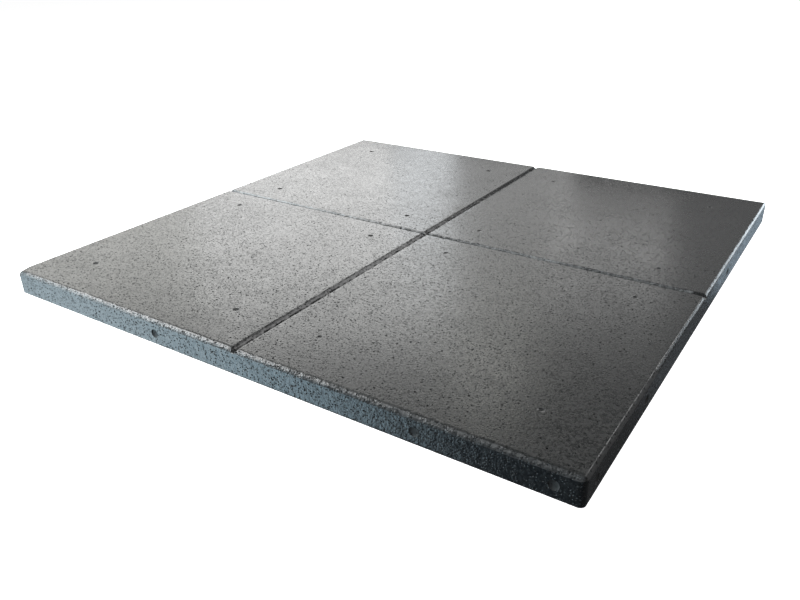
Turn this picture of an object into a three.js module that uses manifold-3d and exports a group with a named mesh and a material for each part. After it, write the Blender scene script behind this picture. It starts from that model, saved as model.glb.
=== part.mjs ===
// A pressed rubber floor tile, moulded in one piece. It is a square slab with bevelled top edges and
// rounded corners. Two false joints cross at the middle of its top and divide it into four squares.
// The screws of the mould leave dished round prints in the top and in the sides.
// Millimetres, +Z up. The origin is the centre of the underside.
import * as THREE from "three";
import { mergeVertices } from "three/addons/utils/BufferGeometryUtils.js";
import Module from "manifold-3d";

const wasm = await Module();
wasm.setup();

// Slab
const tileLength = 1000;
const tileWidth = 1000;
const thickness = 40;
const cornerRadius = 8;

// Bevel along the four top edges
const bevelWidth = 4.5;
const bevelDepth = 4.5;

// False joints, open at both ends
const jointWidth = 10;
const jointFloorWidth = 2;
const jointDepth = 5;

// Prints of the screws that hold the four top plates of the mould
const topPrintDiameter = 10;
const topPrintDepth = 1.2;
const topPrintFromJointX = 80;
const topPrintFromJointY = 62;
const topPrintFromEdge = 90;

// Prints of the bolts that hold the sides of the mould, measured from the front or back corner
const sidePrintDiameter = 14;
const sidePrintDepth = 1.5;
const sidePrintPlaces = [35, 210, 660];

// Faces on round forms
const cornerSteps = 6;
const printSides = 24;
const printRings = 18;

// Turns a closed geometry into a solid that can be joined and cut.
function solidOf(geometry) {
  const bare = geometry.clone();
  bare.deleteAttribute("normal");
  bare.deleteAttribute("uv");
  const merged = mergeVertices(bare);
  return new wasm.Manifold(
    new wasm.Mesh({
      numProp: 3,
      vertProperties: merged.attributes.position.array,
      triVerts: new Uint32Array(merged.index.array),
    }),
  );
}

// Turns a solid back into a geometry with flat faces.
function geometryOf(solid) {
  const mesh = solid.getMesh();
  const shared = new THREE.BufferGeometry();
  shared.setAttribute("position", new THREE.BufferAttribute(mesh.vertProperties, 3));
  shared.setIndex(new THREE.BufferAttribute(mesh.triVerts, 1));
  const geometry = shared.toNonIndexed();
  geometry.computeVertexNormals();
  return geometry;
}

// Half of the slab's section to the right of the middle, from the joint's floor down to the underside.
function halfSection(size) {
  return [
    [jointFloorWidth / 2, thickness - jointDepth],
    [jointWidth / 2, thickness],
    [size / 2 - bevelWidth, thickness],
    [size / 2, thickness - bevelDepth],
    [size / 2, 0],
  ];
}

// The slab's section, with a bevel at each end and a false joint in the middle.
function section(size) {
  const right = halfSection(size);
  const left = right.map(([across, height]) => [-across, height]).reverse();
  return new THREE.Shape([...right, ...left].map(([across, height]) => new THREE.Vector2(across, height)));
}

// A bar of that section: its section lies across X, and it runs along Y.
function bar(acrossSize, alongSize) {
  const geometry = new THREE.ExtrudeGeometry(section(acrossSize), { depth: alongSize, bevelEnabled: false });
  geometry.translate(0, 0, -alongSize / 2);
  geometry.rotateX(Math.PI / 2);
  return geometry;
}

// The tile's outline seen from above, with its rounded corners, as a prism of the full thickness.
function outlinePrism() {
  const halfLength = tileLength / 2;
  const halfWidth = tileWidth / 2;
  const shape = new THREE.Shape();
  shape.moveTo(halfLength, -halfWidth + cornerRadius);
  shape.lineTo(halfLength, halfWidth - cornerRadius);
  shape.absarc(halfLength - cornerRadius, halfWidth - cornerRadius, cornerRadius, 0, Math.PI / 2);
  shape.lineTo(-halfLength + cornerRadius, halfWidth);
  shape.absarc(-halfLength + cornerRadius, halfWidth - cornerRadius, cornerRadius, Math.PI / 2, Math.PI);
  shape.lineTo(-halfLength, -halfWidth + cornerRadius);
  shape.absarc(-halfLength + cornerRadius, -halfWidth + cornerRadius, cornerRadius, Math.PI, -Math.PI / 2);
  shape.lineTo(halfLength - cornerRadius, -halfWidth);
  shape.absarc(halfLength - cornerRadius, -halfWidth + cornerRadius, cornerRadius, -Math.PI / 2, 0);
  return new THREE.ExtrudeGeometry(shape, {
    depth: thickness,
    bevelEnabled: false,
    curveSegments: cornerSteps,
  });
}

// The slab with its bevels and false joints: what the two crossing bars and the outline have in common.
function slab() {
  const alongY = solidOf(bar(tileLength, tileWidth));
  const alongX = solidOf(bar(tileWidth, tileLength).rotateZ(Math.PI / 2));
  return alongY.intersect(alongX).intersect(solidOf(outlinePrism()));
}

// A ball that cuts a dished round print of this diameter and depth in a face at height 0.
function printCutter(diameter, depth) {
  const radius = (diameter ** 2 / 4 + depth ** 2) / (2 * depth);
  const geometry = new THREE.SphereGeometry(radius, printSides, printRings);
  geometry.rotateX(Math.PI / 2);
  geometry.translate(0, 0, radius - depth);
  return geometry;
}

// Cutters for the prints in the top: four in each of the four squares.
function topPrints() {
  const cutters = [];
  const placesX = [topPrintFromJointX, tileLength / 2 - topPrintFromEdge];
  const placesY = [topPrintFromJointY, tileWidth / 2 - topPrintFromEdge];
  for (const x of placesX) {
    for (const y of placesY) {
      for (const [signX, signY] of [[1, 1], [-1, 1], [-1, -1], [1, -1]]) {
        const cutter = printCutter(topPrintDiameter, topPrintDepth);
        cutters.push(cutter.translate(signX * x, signY * y, thickness));
      }
    }
  }
  return cutters;
}

// Cutters for the prints at mid height of the flat sides. The two sides that meet at the front corner,
// at +X and -Y, count from that corner, and the other two count from the back corner.
function sidePrints() {
  const cutters = [];
  const height = (thickness - bevelDepth) / 2;
  for (const place of sidePrintPlaces) {
    const alongX = tileLength / 2 - place;
    const alongY = tileWidth / 2 - place;
    for (const sign of [1, -1]) {
      const facingX = printCutter(sidePrintDiameter, sidePrintDepth).rotateY(sign * Math.PI / 2);
      cutters.push(facingX.translate(sign * tileLength / 2, -sign * alongY, height));
      const facingY = printCutter(sidePrintDiameter, sidePrintDepth).rotateX(sign * Math.PI / 2);
      cutters.push(facingY.translate(sign * alongX, -sign * tileWidth / 2, height));
    }
  }
  return cutters;
}

function tileGeometry() {
  let solid = slab();
  for (const cutter of [...topPrints(), ...sidePrints()]) {
    solid = solid.subtract(solidOf(cutter));
  }
  return geometryOf(solid);
}

const rubber = new THREE.MeshStandardMaterial({ color: 0x3b3d3e, roughness: 0.55, metalness: 0 });

const tile = new THREE.Mesh(tileGeometry(), rubber);
tile.name = "tile";

const floorTile = new THREE.Group();
floorTile.add(tile);

export default floorTile;
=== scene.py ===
"""A pressed rubber floor tile on a plain pale floor, with its closed skin, open pits and worn edges."""
import math
import random

import bmesh
import bpy
from mathutils import Matrix, Vector, noise
from mathutils.geometry import delaunay_2d_cdt


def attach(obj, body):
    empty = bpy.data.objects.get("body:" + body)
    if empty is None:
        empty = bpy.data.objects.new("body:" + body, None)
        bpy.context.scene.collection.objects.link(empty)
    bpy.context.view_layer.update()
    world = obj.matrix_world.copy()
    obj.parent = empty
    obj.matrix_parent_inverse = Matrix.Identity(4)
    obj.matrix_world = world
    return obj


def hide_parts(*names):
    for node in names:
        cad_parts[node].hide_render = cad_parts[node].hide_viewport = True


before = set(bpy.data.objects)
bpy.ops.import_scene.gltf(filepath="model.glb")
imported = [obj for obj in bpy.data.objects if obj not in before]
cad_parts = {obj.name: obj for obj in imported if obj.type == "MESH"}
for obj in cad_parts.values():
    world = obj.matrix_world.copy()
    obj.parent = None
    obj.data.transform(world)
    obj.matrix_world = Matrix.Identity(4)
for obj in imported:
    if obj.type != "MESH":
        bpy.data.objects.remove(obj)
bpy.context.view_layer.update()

random.seed(20)

# The tile, in metres, as in its CAD solid
HALF = 0.5
THICKNESS = 0.040
CORNER_RADIUS = 0.008
BEVEL = 0.0045
JOINT_HALF = 0.005
JOINT_DEPTH = 0.005
TOP_PRINT_RADIUS = 0.005
TOP_PRINT_DEPTH = 0.0012
TOP_PRINT_X = (0.080, 0.410)
TOP_PRINT_Y = (0.062, 0.410)
SIDE_PRINT_RADIUS = 0.007
SIDE_PRINT_DEPTH = 0.0015
SIDE_PRINT_PLACES = (0.035, 0.210, 0.660)
SIDE_PRINT_HEIGHT = (THICKNESS - BEVEL) / 2

# Wear: the bevels along Y stayed sharp and are narrower, and those along X are worn round
SHARP_BEVEL = 0.0038
SHARP_BEND = 0.0010
WORN_BEND = 0.0019
EDGE_WOBBLE = 0.0005
FINE_CRUMBLING = 0.00040
COARSE_CRUMBLING = 0.00022
CRUMBLED_FROM = 0.0006
RIM_WIDTH = 0.0016
RIM_DROP = 0.0007
WORN_CORNER_REACH = 0.022
WORN_CORNER_DROP = 0.004
WAVE_HEIGHT = 0.00012
UNDERSIDE_INSET = 0.0005

# Inside each joint: how soft its lips are, the half width of the slot between them, and their depth
JOINT_ALONG_Y = (0.0018, 0.0025, 0.0031)
JOINT_ALONG_X = (0.0004, 0.0031, 0.0023)
SLOT_WALL = 0.0006
FLARE_LENGTH = 0.012
FLARE_SHARE = 0.45
# Where the joint along X is painted pale: painted light standing in for the light on its wall and lips
PAINTED_LIGHT_STRETCH = (0.05, 0.48)

# How finely the surface is divided, and the lines that follow the outline and the joints
EDGE_STEP = 0.0035
JOINT_STEP = 0.0045
CORNER_STEPS = 8
INNER_CORNER_STEPS = 3
FINE_EDGE_WITHIN = 0.006
ROUND_CORNER_WITHIN = 0.004
SMALLEST_CORNER_RADIUS = 0.0004
EDGE_LINES = (0.0, 0.0005, 0.0014, 0.0026, 0.0038, 0.0048, 0.0062, 0.0090)
JOINT_LINES = (0.0, 0.0024, 0.0030, 0.0037, 0.0046, 0.0052, 0.0062, 0.0078)
JOINT_LINE_END = 0.0003
WELD_DISTANCE = 0.000004
SMOOTH_ANGLE = math.radians(24)

# Chips along the edges: how far they lie from the side and from a joint's middle line, and their size
CHIP_TRIES = 500
CHIP_FROM_CORNER = 0.006
CHIP_FROM_SIDE = (0.0025, 0.0060)
CHIP_FROM_JOINT = (0.0040, 0.0062)
JOINT_CHIP_SHARE = 0.35
CHIP_RADIUS = (0.0012, 0.0028)
CHIP_DEPTH_SHARE = (0.3, 0.7)

# Pits in the skin: the smallest radius, how much larger they get, their depth and the gap between them
TOP_PIT_TRIES = 90000
MOST_TOP_PITS = 11200
TOP_PIT_RADIUS = 0.0008
TOP_PIT_GROWTH = 0.0011
TOP_PIT_DEPTH_SHARE = (0.9, 1.4)
TOP_PIT_GAP = 0.0011
TOP_PIT_FROM_SIDE = 0.003

# Pits and granules in the sides
SIDE_PIT_TRIES = 2600
SIDE_PIT_HEIGHT = (0.003, 0.0315)
SIDE_PIT_RADIUS = 0.0006
SIDE_PIT_GROWTH = 0.0010
SIDE_PIT_DEPTH_SHARE = (0.6, 1.2)
SIDE_PIT_GAP = 0.0010
PRINT_GAP = 0.0006
RIM_GAP = 0.0004
OPEN_SIDE_FROM = 0.0006
GRANULE_TRIES = 26000
GRANULE_HEIGHT = (0.0022, 0.0325)
GRANULE_RADIUS = 0.0008
GRANULE_GAP = 0.0011
GRANULE_SINK = 0.00032

# How uneven a pit's rim is, and how far its deepest place lies from its middle, as shares of its radius
PIT_UNEVENNESS = 0.3
PIT_LEAN = 0.2

# Materials of the faces, in the order of the material slots
# The last material is painted light: a pale grey on part of one joint
SKIN, WORN, SIDE, UNDERSIDE, OPEN, PAINTED_LIGHT = range(6)

# Lengths along the outline: one straight side, one corner, and both together
SIDE_RUN = 2 * (HALF - CORNER_RADIUS)
CORNER_RUN = CORNER_RADIUS * math.pi / 2
QUARTER_RUN = SIDE_RUN + CORNER_RUN
WHOLE_RUN = 4 * QUARTER_RUN

# Camera, at the photograph's place
SENSOR_WIDTH = 36.0
LENS = 33.63
CAMERA_PLACE = Vector((0.67496, -1.10133, 0.54715))
CAMERA_FORWARD = Vector((-0.496066, 0.744592, -0.446655))
CAMERA_UP = Vector((-0.233689, 0.380939, 0.894581))


def add_camera():
    data = bpy.data.cameras.new("camera")
    data.sensor_width = SENSOR_WIDTH
    data.lens = LENS
    camera = bpy.data.objects.new("camera", data)
    bpy.context.scene.collection.objects.link(camera)
    forward = CAMERA_FORWARD.normalized()
    right = forward.cross(CAMERA_UP).normalized()
    up = right.cross(forward)
    turn = Matrix((right, up, -forward)).transposed().to_4x4()
    camera.matrix_world = Matrix.Translation(CAMERA_PLACE) @ turn
    bpy.context.scene.camera = camera


# Height of the top

def ramp(distance, soft):
    """The distance where it is positive and 0 elsewhere, with the bend between them rounded."""
    if distance <= -soft:
        return 0.0
    if distance >= soft:
        return distance
    return (distance + soft) ** 2 / (4 * soft)


def distance_to_side(x, y):
    """How far a place on the top lies inside the outline with its rounded corners."""
    from_x, from_y = abs(x), abs(y)
    middle = HALF - CORNER_RADIUS
    if from_x > middle and from_y > middle:
        return CORNER_RADIUS - math.hypot(from_x - middle, from_y - middle)
    return HALF - max(from_x, from_y)


def trench(across, to_end, soft, slot, lip_depth):
    """How far a false joint is sunk at this distance from its middle line. It flares at its ends.

    Its lips slope down to a narrow slot with steep walls.
    """
    flare = 1 + FLARE_SHARE * max(0.0, 1 - to_end / FLARE_LENGTH) ** 2
    in_slot = max(0.0, slot * flare - across)
    on_floor = max(0.0, (slot - SLOT_WALL) * flare - across)
    lip = (ramp(JOINT_HALF * flare - across, soft) - in_slot) * lip_depth / (JOINT_HALF - slot)
    return lip + (in_slot - on_floor) * (JOINT_DEPTH - lip_depth) / SLOT_WALL


def waves(x, y, per_metre, layer):
    """A smooth random value from -1 to 1. It has about this many waves per metre."""
    return noise.noise(Vector((x * per_metre, y * per_metre, layer)))


def crumbling(x, y):
    """Uneven wear of a few tenths of a millimetre along the edges of the bevels and joints."""
    return FINE_CRUMBLING * (1 + waves(x, y, 260, 3.1)) + COARSE_CRUMBLING * (1 + waves(x, y, 90, 7.7))


def top_height(x, y):
    """Height of the moulded top: flat squares, joints, bevels and a slight waviness."""
    from_x, from_y = abs(x), abs(y)
    wobble = EDGE_WOBBLE * waves(x, y, 170, 5.5)
    worn = ramp(BEVEL + wobble - (HALF - from_y), WORN_BEND)
    sharp = ramp(SHARP_BEVEL - (HALF - from_x), SHARP_BEND)
    along_y = trench(from_x + wobble, HALF - from_y, *JOINT_ALONG_Y)
    along_x = trench(from_y + wobble, HALF - from_x, *JOINT_ALONG_X)
    joint = min(JOINT_DEPTH, max(along_y, along_x))
    rim = max(0.0, 1 - distance_to_side(x, y) / RIM_WIDTH)
    corner_wear = max(0.0, 1 - math.hypot(x + HALF, y + HALF) / WORN_CORNER_REACH)
    drop = max(worn, sharp, joint) + RIM_DROP * rim * rim + WORN_CORNER_DROP * corner_wear
    near_edge = min(1.0, max(worn, 0.3 * sharp, joint) / CRUMBLED_FROM)
    crumbled = 0.35 if sharp > worn else 0.95
    drop += crumbling(x, y) * (0.05 + crumbled * near_edge)
    drop += WAVE_HEIGHT * (1 + waves(x, y, 9, 0.4))
    return THICKNESS - drop


# Patches: flat sheets of triangles, for the top seen from above and for the sides rolled out flat

class Patch:
    """Places in a plane with a sink for each, joined into triangles along the lines it is given."""

    def __init__(self):
        self.places = []
        self.sinks = []
        self.lines = []

    def point(self, u, v, sink):
        self.places.append(Vector((u, v)))
        self.sinks.append(sink)

    def chain(self, places, sink=0.0, closed=True):
        """A line through the places, all with the same sink. Returns the number of its first place."""
        first = len(self.places)
        for u, v in places:
            self.point(u, v, sink)
        count = len(places)
        for i in range(count if closed else count - 1):
            self.lines.append((first + i, first + (i + 1) % count))
        return first

    def ring(self, u, v, radius, count, sink, spread=0.0):
        """A closed line round a place. The spread makes it uneven, as a share of its radius."""
        start = random.uniform(0, math.tau)
        places = []
        for i in range(count):
            angle = start + math.tau * i / count
            reach = radius * (1 + random.uniform(-spread, spread))
            places.append((u + reach * math.cos(angle), v + reach * math.sin(angle)))
        self.chain(places, sink)

    def pit(self, u, v, radius, depth):
        """A small open pore, deepest near its middle. Larger ones have more sides."""
        sides = 3
        if radius > 0.0012:
            sides = 4
        if radius > 0.0016:
            sides = 6
        self.ring(u, v, radius, sides, 0.0, spread=PIT_UNEVENNESS)
        deepest_u = u + random.uniform(-PIT_LEAN, PIT_LEAN) * radius
        deepest_v = v + random.uniform(-PIT_LEAN, PIT_LEAN) * radius
        self.point(deepest_u, deepest_v, depth)

    def dish(self, u, v, radius, depth):
        """A dished round print, as rings that sink towards its middle."""
        for share, sunk, count in ((1.0, 0.0, 20), (0.88, 0.5, 20), (0.66, 0.85, 14), (0.34, 1.0, 8)):
            self.ring(u, v, radius * share, count, depth * sunk)
        self.point(u, v, depth)

    def triangles(self):
        """Places, sinks and triangles of the finished patch."""
        out = delaunay_2d_cdt(self.places, self.lines, [], 1, 1e-7)
        sinks = [max((self.sinks[i] for i in origins), default=0.0) for origins in out[3]]
        return out[0], sinks, out[2]


class Scatter:
    """Random places that keep their distance from each other."""

    def __init__(self, cell):
        self.cell = cell
        self.taken = {}

    def free(self, u, v, radius):
        i, j = int(u // self.cell), int(v // self.cell)
        for a in range(i - 1, i + 2):
            for b in range(j - 1, j + 2):
                for other_u, other_v, other in self.taken.get((a, b), ()):
                    if math.hypot(u - other_u, v - other_v) < radius + other:
                        return False
        return True

    def take(self, u, v, radius):
        self.taken.setdefault((int(u // self.cell), int(v // self.cell)), []).append((u, v, radius))


# The top

def outline(inset):
    """The outline seen from above, moved inwards by the inset, as places counter-clockwise."""
    radius = max(CORNER_RADIUS - inset, SMALLEST_CORNER_RADIUS)
    reach = HALF - inset
    centre = reach - radius
    straight = 2 * centre
    count = round(straight / (EDGE_STEP if inset < FINE_EDGE_WITHIN else 2 * EDGE_STEP))
    steps = CORNER_STEPS if inset < ROUND_CORNER_WITHIN else INNER_CORNER_STEPS
    places = []
    for quarter in range(4):
        turn = Matrix.Rotation(quarter * math.pi / 2, 2)
        for i in range(count):
            places.append(turn @ Vector((reach, -straight / 2 + straight * i / count)))
        for i in range(steps):
            angle = i / steps * math.pi / 2
            corner = (centre + radius * math.cos(angle), centre + radius * math.sin(angle))
            places.append(turn @ Vector(corner))
    return places


def add_top_lines(patch):
    """Lines inside the outline and along both joints, where the height bends."""
    for inset in EDGE_LINES:
        patch.chain(outline(inset))
    count = round(2 * HALF / JOINT_STEP)
    along = [-HALF + JOINT_LINE_END + (2 * HALF - 2 * JOINT_LINE_END) * i / count for i in range(count + 1)]
    for offset in JOINT_LINES:
        for sign in ((1, -1) if offset else (1,)):
            across = sign * offset
            patch.chain([(across, v) for v in along], closed=False)
            patch.chain([(v, across) for v in along], closed=False)


def add_top_prints(patch, scatter):
    for x in TOP_PRINT_X:
        for y in TOP_PRINT_Y:
            for u, v in ((x, y), (-x, y), (-x, -y), (x, -y)):
                patch.dish(u, v, TOP_PRINT_RADIUS, TOP_PRINT_DEPTH)
                scatter.take(u, v, TOP_PRINT_RADIUS)


def add_edge_chips(patch, scatter):
    """Shallow chips along the bevels, and fewer along the joints."""
    for _ in range(CHIP_TRIES):
        along = random.uniform(-HALF + CHIP_FROM_CORNER, HALF - CHIP_FROM_CORNER)
        across = random.choice((-1, 1)) * (HALF - random.uniform(*CHIP_FROM_SIDE))
        if random.random() < JOINT_CHIP_SHARE:
            across = random.choice((-1, 1)) * random.uniform(*CHIP_FROM_JOINT)
        x, y = random.choice(((along, across), (across, along)))
        radius = min(random.uniform(*CHIP_RADIUS), (HALF - abs(across)) / 1.5)
        if scatter.free(x, y, radius):
            scatter.take(x, y, radius)
            patch.pit(x, y, radius, radius * random.uniform(*CHIP_DEPTH_SHARE))


def add_top_pits(patch, scatter):
    """Open pores in the skin, which lie closer together towards the front and the left."""
    pits = 0
    for _ in range(TOP_PIT_TRIES):
        x = random.uniform(-HALF + TOP_PIT_FROM_SIDE, HALF - TOP_PIT_FROM_SIDE)
        y = random.uniform(-HALF + TOP_PIT_FROM_SIDE, HALF - TOP_PIT_FROM_SIDE)
        size = random.random()
        chance = random.random()
        open_skin = 0.48 - 0.12 * x - 1.0 * y + 0.5 * waves(x, y, 14, 2.2)
        radius = TOP_PIT_RADIUS + TOP_PIT_GROWTH * size ** 3
        if chance < open_skin and pits < MOST_TOP_PITS and scatter.free(x, y, radius + TOP_PIT_GAP):
            scatter.take(x, y, radius)
            patch.pit(x, y, radius, radius * random.uniform(*TOP_PIT_DEPTH_SHARE))
            pits += 1


def top_patch():
    patch = Patch()
    scatter = Scatter(0.010)
    add_top_lines(patch)
    add_top_prints(patch, scatter)
    add_edge_chips(patch, scatter)
    add_top_pits(patch, scatter)
    return patch


def in_print(place):
    """Whether a place on the top is in one of the dished prints."""
    for x in TOP_PRINT_X:
        for y in TOP_PRINT_Y:
            if math.hypot(abs(place.x) - x, abs(place.y) - y) < TOP_PRINT_RADIUS:
                return True
    return False


def is_open(place, sink):
    """Whether the skin has come off: in pits, in half of the prints and on part of one bevel."""
    if in_print(place):
        return place.x < 0
    patchy = 0.15 * noise.noise(Vector((place.y * 40, 1.5, 2.5)))
    return sink > 0 or (place.x > HALF - SHARP_BEVEL and place.y < patchy - 0.24)


def top_material(place, sink):
    """Which material a place on the top has: skin, worn bevel, open rubber or the painted light on one
    joint.
    """
    if is_open(place, sink):
        return OPEN
    if HALF - abs(place.y) < BEVEL:
        return WORN
    # Painted light: this half of the joint along X is painted pale in place of the light on its wall and
    # lips
    if abs(place.y) < JOINT_HALF and PAINTED_LIGHT_STRETCH[0] < place.x < PAINTED_LIGHT_STRETCH[1]:
        return PAINTED_LIGHT
    return SKIN


# The sides, rolled out flat: a run along the outline, and a height

def side_place(run):
    """The place on the outline at this run along it, and the direction that faces outwards there."""
    quarter, along = divmod(min(max(run, 0.0), WHOLE_RUN - 1e-9), QUARTER_RUN)
    turn = Matrix.Rotation(quarter * math.pi / 2, 2)
    if along <= SIDE_RUN:
        return turn @ Vector((HALF, along - SIDE_RUN / 2)), turn @ Vector((1, 0))
    angle = (along - SIDE_RUN) / CORNER_RADIUS
    out = Vector((math.cos(angle), math.sin(angle)))
    middle = HALF - CORNER_RADIUS
    return turn @ (Vector((middle, middle)) + CORNER_RADIUS * out), turn @ out


def rim_height(run):
    """Height of the top's outer edge at this run along the outline."""
    place, _ = side_place(run)
    return top_height(place.x, place.y)


def outline_runs():
    """Runs along the outline that divide it as finely as the top's outer line."""
    count = round(SIDE_RUN / EDGE_STEP)
    runs = []
    for quarter in range(4):
        start = quarter * QUARTER_RUN
        runs += [start + SIDE_RUN * i / count for i in range(count)]
        runs += [start + SIDE_RUN + CORNER_RUN * i / CORNER_STEPS for i in range(CORNER_STEPS)]
    return runs


def add_side_lines(patch):
    """The side's border, with a slightly rounded lower edge, and a line just below the top's rim."""
    runs = [*outline_runs(), WHOLE_RUN]
    rim = [(run, rim_height(run)) for run in runs]
    low = patch.chain([(run, 0.0) for run in runs], UNDERSIDE_INSET, closed=False)
    patch.chain([(run, 0.0012) for run in runs], 0.00005, closed=False)
    patch.chain([(run, height - 0.0010) for run, height in rim], 0.0001, closed=False)
    high = patch.chain(rim, closed=False)
    last = len(runs) - 1
    patch.lines += [(low, high), (low + last, high + last)]


def add_side_prints(patch, prints):
    """The prints count from the front corner on two sides, and from the back corner on the others."""
    for place in SIDE_PRINT_PLACES:
        from_front = SIDE_RUN - (place - CORNER_RADIUS)
        to_back = place - CORNER_RADIUS
        for quarter, along in ((3, from_front), (0, to_back), (1, from_front), (2, to_back)):
            run = quarter * QUARTER_RUN + along
            patch.dish(run, SIDE_PRINT_HEIGHT, SIDE_PRINT_RADIUS, SIDE_PRINT_DEPTH)
            prints.take(run, SIDE_PRINT_HEIGHT, SIDE_PRINT_RADIUS)


def add_side_pits(patch, prints, spots):
    for _ in range(SIDE_PIT_TRIES):
        run = random.uniform(0.004, WHOLE_RUN - 0.004)
        height = random.uniform(*SIDE_PIT_HEIGHT)
        radius = SIDE_PIT_RADIUS + SIDE_PIT_GROWTH * random.random() ** 2
        height = min(height, rim_height(run) - (1 + PIT_UNEVENNESS) * radius - RIM_GAP)
        if prints.free(run, height, radius + PRINT_GAP) and spots.free(run, height, radius + SIDE_PIT_GAP):
            spots.take(run, height, radius)
            patch.pit(run, height, radius, radius * random.uniform(*SIDE_PIT_DEPTH_SHARE))


def add_side_granules(patch, prints, spots):
    """Places that sink by a few tenths of a millimetre, between granules that stand proud."""
    for _ in range(GRANULE_TRIES):
        run = random.uniform(0.003, WHOLE_RUN - 0.003)
        height = random.uniform(*GRANULE_HEIGHT)
        sink = random.uniform(0, GRANULE_SINK)
        if prints.free(run, height, PRINT_GAP) and spots.free(run, height, GRANULE_GAP):
            spots.take(run, height, GRANULE_RADIUS)
            patch.point(run, height, sink)


def side_patch():
    patch = Patch()
    prints = Scatter(0.016)
    spots = Scatter(0.004)
    add_side_lines(patch)
    add_side_prints(patch, prints)
    add_side_pits(patch, prints, spots)
    add_side_granules(patch, prints, spots)
    return patch


# The whole surface

class Shell:
    """The tile's surface as it grows: its vertices, its triangles and the material of each triangle."""

    def __init__(self):
        self.vertices = []
        self.known = {}
        self.faces = []
        self.materials = []

    def vertex(self, x, y, z):
        """The number of the vertex at this place. Faces that meet there share it."""
        key = (round(x * 1e6), round(y * 1e6), round(z * 1e6))
        if key not in self.known:
            self.known[key] = len(self.vertices)
            self.vertices.append((x, y, z))
        return self.known[key]

    def face(self, corners, material):
        if len(set(corners)) == 3:
            self.faces.append(corners)
            self.materials.append(material)

    def add_top(self):
        places, sinks, triangles = top_patch().triangles()
        numbers = [self.vertex(p.x, p.y, top_height(p.x, p.y) - sink) for p, sink in zip(places, sinks)]
        for triangle in triangles:
            middle = sum((places[i] for i in triangle), Vector((0, 0))) / 3
            deepest = max(sinks[i] for i in triangle)
            self.face([numbers[i] for i in triangle], top_material(middle, deepest))

    def add_sides(self):
        places, sinks, triangles = side_patch().triangles()
        numbers = []
        for p, sink in zip(places, sinks):
            place, out = side_place(p.x)
            inwards = place - sink * out
            numbers.append(self.vertex(inwards.x, inwards.y, p.y))
        for triangle in triangles:
            deepest = max(sinks[i] for i in triangle)
            self.face([numbers[i] for i in triangle], OPEN if deepest > OPEN_SIDE_FROM else SIDE)

    def add_underside(self):
        border = []
        for run in outline_runs():
            place, out = side_place(run)
            border.append(place - UNDERSIDE_INSET * out)
        patch = Patch()
        patch.chain(border)
        places, _, triangles = patch.triangles()
        numbers = [self.vertex(p.x, p.y, 0.0) for p in places]
        for triangle in triangles:
            self.face([numbers[i] for i in reversed(triangle)], UNDERSIDE)


def tile_mesh():
    """One closed mesh: the top, the sides and the plain underside, joined along the outline."""
    shell = Shell()
    shell.add_top()
    shell.add_sides()
    shell.add_underside()
    mesh = bpy.data.meshes.new("rubber_tile")
    mesh.from_pydata(shell.vertices, [], shell.faces)
    mesh.polygons.foreach_set("material_index", shell.materials)
    welded = bmesh.new()
    welded.from_mesh(mesh)
    bmesh.ops.remove_doubles(welded, verts=welded.verts, dist=WELD_DISTANCE)
    welded.to_mesh(mesh)
    welded.free()
    mesh.polygons.foreach_set("use_smooth", [True] * len(mesh.polygons))
    mesh.set_sharp_from_angle(angle=SMOOTH_ANGLE)
    mesh.update()
    return mesh


# Materials

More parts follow.
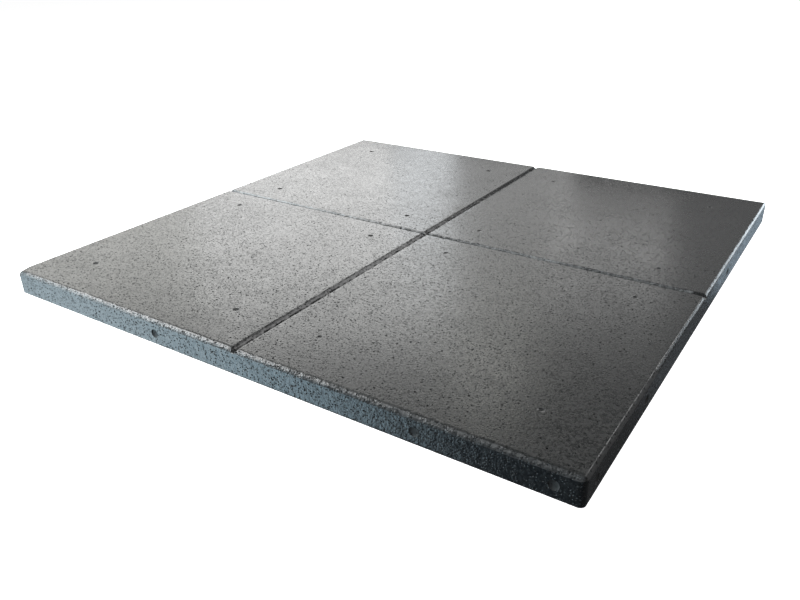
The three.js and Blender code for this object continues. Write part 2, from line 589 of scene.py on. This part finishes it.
class Nodes:
    """Short calls for building a material's node tree."""

    def __init__(self, name):
        self.material = bpy.data.materials.new(name)
        self.material.use_nodes = True
        self.tree = self.material.node_tree
        self.shader = self.tree.nodes["Principled BSDF"]
        self.place = self.tree.nodes.new("ShaderNodeTexCoord").outputs["Object"]

    def link(self, source, socket):
        self.tree.links.new(source, socket)

    def noise(self, scale, detail, roughness=0.5):
        node = self.tree.nodes.new("ShaderNodeTexNoise")
        node.inputs["Scale"].default_value = scale
        node.inputs["Detail"].default_value = detail
        node.inputs["Roughness"].default_value = roughness
        self.link(self.place, node.inputs["Vector"])
        return node.outputs["Fac"]

    def cells(self, scale):
        node = self.tree.nodes.new("ShaderNodeTexVoronoi")
        node.inputs["Scale"].default_value = scale
        self.link(self.place, node.inputs["Vector"])
        return node

    def map(self, source, low, high, to_low=0.0, to_high=1.0, smooth=False):
        node = self.tree.nodes.new("ShaderNodeMapRange")
        if smooth:
            node.interpolation_type = "SMOOTHSTEP"
        for name, value in (("From Min", low), ("From Max", high), ("To Min", to_low), ("To Max", to_high)):
            node.inputs[name].default_value = value
        self.link(source, node.inputs["Value"])
        return node.outputs["Result"]

    def front_to_back(self, front, back):
        """A value that runs from the front of the tile to its back."""
        node = self.tree.nodes.new("ShaderNodeSeparateXYZ")
        self.link(self.place, node.inputs[0])
        return self.map(node.outputs["Y"], -HALF, HALF, front, back)

    def math(self, kind, a, b):
        node = self.tree.nodes.new("ShaderNodeMath")
        node.operation = kind
        for socket, value in zip(node.inputs, (a, b)):
            if isinstance(value, (int, float)):
                socket.default_value = value
            else:
                self.link(value, socket)
        return node.outputs[0]

    def times(self, a, b):
        return self.math("MULTIPLY", a, b)

    def total(self, first, *others):
        for other in others:
            first = self.math("ADD", first, other)
        return first

    def mix(self, factor, a, b):
        node = self.tree.nodes.new("ShaderNodeMix")
        node.data_type = "RGBA"
        self.link(factor, node.inputs[0])
        for socket, value in ((node.inputs[6], a), (node.inputs[7], b)):
            if isinstance(value, tuple):
                socket.default_value = (*value, 1.0)
            else:
                self.link(value, socket)
        return node.outputs[2]

    def grey(self, colour):
        node = self.tree.nodes.new("ShaderNodeSeparateColor")
        self.link(colour, node.inputs[0])
        return node.outputs[0]

    def chosen_cells(self, scale, share, soft, radius, edge):
        """1 at the middle of a random share of the cells, fading to 0 between the radius and the edge."""
        cells = self.cells(scale)
        chosen = self.map(self.grey(cells.outputs["Color"]), 1 - share, 1 - share + soft)
        near = self.map(cells.outputs["Distance"], radius, edge, 1.0, 0.0, smooth=True)
        return self.times(chosen, near)

    def bump(self, height, distance):
        node = self.tree.nodes.new("ShaderNodeBump")
        node.inputs["Distance"].default_value = distance
        self.link(height, node.inputs["Height"])
        self.link(node.outputs["Normal"], self.shader.inputs["Normal"])


SPECK_COLOUR = (0.08, 0.085, 0.085)


def rubber(name, dark, light, roughness, pores, relief, pore_depth):
    """Pressed granulate: granules of several greys, open pores between them with painted shade, and a few
    pale specks.

    Roughness is given for the front and the back of the tile, pores as a share of their cells, relief
    as the height of the bumps in metres, and the depth of the pores as a share of that relief.
    """
    nodes = Nodes(name)
    granules = nodes.cells(330)
    shade = nodes.grey(granules.outputs["Color"])
    mottle = nodes.map(nodes.noise(7, 4, 0.6), 0.3, 0.7)
    wear = nodes.front_to_back(1.0, 0.15)
    pore = nodes.times(nodes.chosen_cells(285, pores, 0.02, 0.18, 0.42), wear)
    speck = nodes.chosen_cells(150, 0.014, 0.008, 0.10, 0.20)

    colour = nodes.mix(nodes.times(shade, mottle), dark, light)
    # Painted shade: the pores are painted far darker, for the shade that falls inside them
    colour = nodes.mix(pore, colour, tuple(0.25 * channel for channel in dark))
    colour = nodes.mix(speck, colour, SPECK_COLOUR)
    nodes.link(colour, nodes.shader.inputs["Base Color"])

    dullness = nodes.total(
        nodes.front_to_back(*roughness),
        nodes.map(nodes.noise(60, 3), 0.25, 0.75, -0.02, 0.02),
        nodes.map(nodes.noise(12, 4, 0.6), 0.3, 0.7, -0.03, 0.03),
        nodes.map(shade, 0.0, 1.0, -0.06, 0.06),
        nodes.times(pore, 0.55),
    )
    nodes.link(dullness, nodes.shader.inputs["Roughness"])

    crumbs = nodes.map(granules.outputs["Distance"], 0.0, 0.8, 1.0, 0.0, smooth=True)
    height = nodes.total(
        nodes.times(nodes.times(crumbs, wear), 0.5),
        nodes.times(nodes.noise(900, 2), 0.25),
        nodes.times(nodes.noise(230, 3), 0.7),
        nodes.times(pore, -pore_depth),
    )
    nodes.bump(height, relief)
    return nodes.material


def skin():
    return rubber(
        "rubber_skin",
        dark=(0.017, 0.018, 0.018),
        light=(0.036, 0.036, 0.036),
        roughness=(0.27, 0.20),
        pores=0.60,
        relief=0.00009,
        pore_depth=1.2,
    )


def worn_edges_and_painted_sparkle():
    return rubber(
        "rubber_edges",
        # Partly painted highlight: the bevels' granules reach lighter greys than the skin's, as painted
        # sparkle besides their own tone
        dark=(0.012, 0.013, 0.014),
        light=(0.055, 0.057, 0.059),
        roughness=(0.28, 0.28),
        pores=0.40,
        relief=0.0005,
        pore_depth=2.5,
    )


def sides():
    return rubber(
        "rubber_sides",
        dark=(0.006, 0.008, 0.010),
        light=(0.023, 0.025, 0.026),
        roughness=(0.22, 0.22),
        pores=0.55,
        relief=0.00034,
        pore_depth=2.2,
    )


def underside():
    return rubber(
        "rubber_underside",
        dark=(0.024, 0.025, 0.026),
        light=(0.048, 0.048, 0.048),
        roughness=(0.6, 0.6),
        pores=0.45,
        relief=0.0004,
        pore_depth=2.5,
    )


def open_rubber():
    """Bare granulate where the skin has come off."""
    return rubber(
        "rubber_open",
        dark=(0.010, 0.010, 0.010),
        light=(0.030, 0.030, 0.030),
        roughness=(0.7, 0.7),
        pores=0.45,
        relief=0.0004,
        pore_depth=2.5,
    )


def painted_light_rubber():
    """Painted light: a pale grey on one half of a joint, standing in for the light that its wall and lips
    catch.
    """
    return rubber(
        "rubber_painted_light",
        dark=(0.030, 0.031, 0.032),
        light=(0.270, 0.278, 0.280),
        roughness=(0.30, 0.30),
        pores=0.40,
        relief=0.0004,
        pore_depth=2.5,
    )


def add_tile():
    tile = bpy.data.objects.new("rubber_tile", tile_mesh())
    bpy.context.scene.collection.objects.link(tile)
    for material in (skin(), worn_edges_and_painted_sparkle(), sides(), underside(), open_rubber(), painted_light_rubber()):
        tile.data.materials.append(material)
    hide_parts("tile")
    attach(tile, "root")


# Floor and surroundings

FLOOR_HALF = 15.0
FLOOR_HEIGHT = -0.0004


def add_floor():
    mesh = bpy.data.meshes.new("floor")
    corners = [(-1, -1), (1, -1), (1, 1), (-1, 1)]
    places = [(FLOOR_HALF * x, FLOOR_HALF * y, FLOOR_HEIGHT) for x, y in corners]
    mesh.from_pydata(places, [], [(0, 1, 2, 3)])
    floor = bpy.data.objects.new("floor", mesh)
    bpy.context.scene.collection.objects.link(floor)
    material = bpy.data.materials.new("pale_floor")
    material.use_nodes = True
    shader = material.node_tree.nodes["Principled BSDF"]
    shader.inputs["Base Color"].default_value = (0.85, 0.85, 0.85, 1)
    shader.inputs["Roughness"].default_value = 0.9
    shader.inputs["Emission Color"].default_value = (1, 1, 1, 1)
    shader.inputs["Emission Strength"].default_value = 0.92
    mesh.materials.append(material)
    floor.visible_diffuse = False
    floor.visible_glossy = False
    floor.visible_shadow = False


def add_world():
    """A dim room, so that the panels make nearly all the light. The camera sees plain white instead."""
    world = bpy.data.worlds.new("studio")
    bpy.context.scene.world = world
    world.use_nodes = True
    nodes, links = world.node_tree.nodes, world.node_tree.links
    room = nodes["Background"]
    room.inputs["Color"].default_value = (0.97, 0.99, 1.0, 1)
    room.inputs["Strength"].default_value = 0.06
    seen = nodes.new("ShaderNodeBackground")
    seen.inputs["Color"].default_value = (1, 1, 1, 1)
    path = nodes.new("ShaderNodeLightPath")
    mix = nodes.new("ShaderNodeMixShader")
    links.new(path.outputs["Is Camera Ray"], mix.inputs[0])
    links.new(room.outputs[0], mix.inputs[1])
    links.new(seen.outputs[0], mix.inputs[2])
    links.new(mix.outputs[0], nodes["World Output"].inputs["Surface"])


# Light

TO_LEFT = (0, -1, 0)
TO_RIGHT = (1, 0, 0)
JOINT_WALL_TILT = 51
MID_BEVEL = HALF - BEVEL / 2
BEVEL_HEIGHT = THICKNESS - BEVEL / 2
WALL_HEIGHT = THICKNESS - JOINT_DEPTH / 2


def mirrored_camera(place, tilt=0, facing=TO_LEFT):
    """Where the camera seems to stand when it is seen in a face of the tile.

    The face passes through the place, and tilts from level towards facing by this many degrees.
    """
    tilt = math.radians(tilt)
    normal = math.sin(tilt) * Vector(facing) + Vector((0, 0, math.cos(tilt)))
    return CAMERA_PLACE - 2 * (CAMERA_PLACE - Vector(place)).dot(normal) * normal


def width_of(angles, distance):
    """How wide a thing is that fills these angles, in degrees, at this distance."""
    return 2 * distance * math.tan(math.radians((angles[1] - angles[0]) / 2))


def add_panel(name, eye, azimuths, elevations, distance, radiance, colour):
    """A soft rectangular light that fills these directions as seen from the eye.

    Azimuths are degrees from +Y towards -X. The light's face is square to the middle direction.
    """
    azimuth = math.radians(sum(azimuths) / 2)
    elevation = math.radians(sum(elevations) / 2)
    flat = Vector((-math.sin(azimuth), math.cos(azimuth), 0))
    direction = flat * math.cos(elevation) + Vector((0, 0, math.sin(elevation)))
    data = bpy.data.lights.new(name, "AREA")
    data.shape = "RECTANGLE"
    data.size = width_of(azimuths, distance) * math.cos(elevation)
    data.size_y = width_of(elevations, distance)
    data.energy = 4 * radiance * data.size * data.size_y
    data.color = colour
    light = bpy.data.objects.new(name, data)
    light.location = Vector(eye) + direction * distance
    light.rotation_euler = direction.to_track_quat("Z", "Y").to_euler()
    light.visible_camera = False
    bpy.context.scene.collection.objects.link(light)


def add_top_light():
    """What the top mirrors: bright panels for the squares on the left, and dim ones on the right."""
    eye = mirrored_camera((0, 0, THICKNESS))
    add_panel("back_blue", eye, (29.2, 34), (14.5, 25), 6.0, 2.85, (0.95, 0.98, 1.0))
    add_panel("back_left", eye, (34, 50), (14.5, 25), 6.0, 3.15, (1.0, 1.0, 0.99))
    add_panel("high_left", eye, (29.2, 50), (25, 30.5), 6.0, 3.35, (1.0, 1.0, 0.98))
    add_panel("far_left", eye, (50, 72), (12, 30), 6.0, 2.15, (1.0, 1.0, 0.96))
    add_panel("back_middle", eye, (20, 29.2), (15, 26), 6.0, 0.98, (1.0, 1.0, 0.99))
    add_panel("high_middle", eye, (21.5, 29.2), (25, 30), 6.0, 1.4, (1.0, 1.0, 0.95))
    add_panel("top_middle", eye, (23, 29.2), (30, 36), 6.0, 2.5, (1.0, 1.0, 0.94))
    add_panel("joint_y_crease", eye, (-22, 0), (32, 54), 6.0, 1.0, (1.0, 1.0, 1.0))
    add_panel("back_right", eye, (12, 21), (19, 28.5), 6.0, 1.33, (1.0, 1.0, 0.99))
    add_panel("far_right", eye, (-8, 12), (17, 31), 6.0, 0.3, (1.0, 1.0, 1.0))


def add_left_bevel_light():
    eye = mirrored_camera((0, -MID_BEVEL, BEVEL_HEIGHT), 45, TO_LEFT)
    add_panel("left_window", eye, (108, 128), (22, 36), 4.0, 5.6, (0.80, 0.94, 1.0))


def add_joint_x_light():
    eye = mirrored_camera((0, JOINT_HALF / 2, WALL_HEIGHT), JOINT_WALL_TILT, TO_LEFT)
    add_panel("joint_x_light", eye, (116, 138), (31, 48), 3.6, 8.5, (1.0, 1.0, 1.0))
    add_panel("joint_x_right", eye, (138, 162), (45, 55), 6.0, 3.3, (0.96, 1.0, 1.0))


def add_left_edge_light():
    """Wide, weak panels that soften the light on the left bevel and side."""
    eye = (0.0, -HALF, 0.037)
    add_panel("overhead", eye, (38, 120), (45, 64), 3.0, 0.8, (0.95, 1.0, 1.0))
    add_panel("level_left", eye, (106, 138), (0, 22), 4.0, 1.5, (0.72, 0.9, 1.0))
    add_panel("level_middle", eye, (138, 151), (-8, 14), 4.0, 2.0, (0.72, 0.9, 1.0))


def add_joint_y_light():
    eye = mirrored_camera((-JOINT_HALF / 2, 0, WALL_HEIGHT), JOINT_WALL_TILT, TO_RIGHT)
    add_panel("joint_y_light", eye, (-54, -27), (20, 38), 3.6, 3.0, (1.0, 1.0, 1.0))


def add_left_side_light():
    """What the left side mirrors: bluish panels, brightest at its middle and dim at the front corner."""
    eye = mirrored_camera((0, -HALF, 0), 90, TO_LEFT)
    add_panel("low_far_left", eye, (96, 114), (-34, 4), 3.0, 0.95, (0.74, 0.91, 1.0))
    add_panel("low_left", eye, (114, 129), (-38, 0), 3.0, 3.15, (0.74, 0.91, 1.0))
    add_panel("low_middle", eye, (129, 142.5), (-42, -8), 3.0, 2.95, (0.62, 0.86, 1.0))
    add_panel("low_front", eye, (142.5, 149), (-44, -14), 3.0, 0.85, (0.80, 0.92, 1.0))


def add_right_bevel_light():
    eye = mirrored_camera((MID_BEVEL, 0, BEVEL_HEIGHT), 45, TO_RIGHT)
    add_panel("right_window", eye, (-27, -12), (2.5, 8.5), 4.0, 4.2, (0.84, 0.93, 1.0))


def add_right_side_light():
    eye = mirrored_camera((HALF, 0, 0), 90, TO_RIGHT)
    add_panel("low_right", eye, (-13, -2), (-24, -2), 4.0, 0.58, (0.66, 0.84, 1.0))
    add_panel("low_right_near", eye, (-20, -13), (-32, -6), 4.0, 0.2, (0.8, 0.9, 1.0))


def add_fill_light():
    """Low light from the camera's side, which shows the top to anyone who stands behind the tile."""
    eye = (0.0, 0.0, THICKNESS)
    for azimuth in (165, 210, 255):
        add_panel(f"fill_{azimuth}", eye, (azimuth, azimuth + 45), (8, 25), 5.0, 0.7, (1.0, 1.0, 1.0))


add_camera()
add_tile()
add_floor()
add_world()
add_top_light()
add_left_bevel_light()
add_joint_x_light()
add_left_edge_light()
add_joint_y_light()
add_left_side_light()
add_right_bevel_light()
add_right_side_light()
add_fill_light()

bpy.context.scene.view_settings.view_transform = "Standard"
